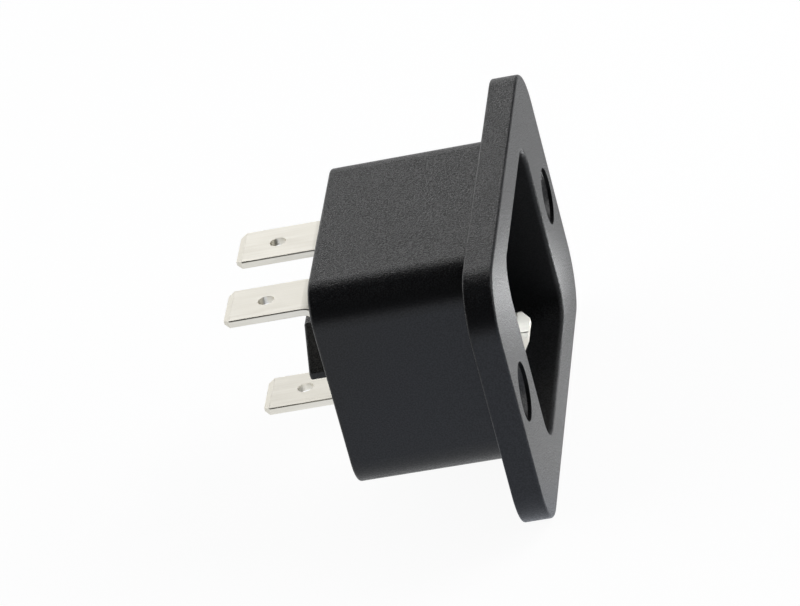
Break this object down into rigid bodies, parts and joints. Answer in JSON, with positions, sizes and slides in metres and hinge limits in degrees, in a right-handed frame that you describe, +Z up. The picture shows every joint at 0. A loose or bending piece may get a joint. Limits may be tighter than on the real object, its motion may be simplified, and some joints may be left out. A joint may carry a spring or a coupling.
{
  "type": "panel power inlet",
  "caption": "Screw-mounted panel power inlet: rounded flange with countersunk holes, deep rectangular connector cavity with flat blades, and push-on tabs behind.",
  "frame": {"origin": "centre of the flange's panel face, midway between the screw holes", "axes": "+Y out of the panel face, along the screws and towards the tabs; +X along the flange's long side; +Z up, away from the earth contact"},
  "size_m": [0.05, 0.03, 0.0284],
  "materials": {
    "housing_plastic": "fine spark-textured black thermoplastic",
    "contact_plate": "satin nickel plating over brass strip"
  },
  "bodies": {
    "root": {"inlet_housing": "housing_plastic", "line_contact": "contact_plate", "neutral_contact": "contact_plate", "earth_contact": "contact_plate"}
  },
  "joints": []
}
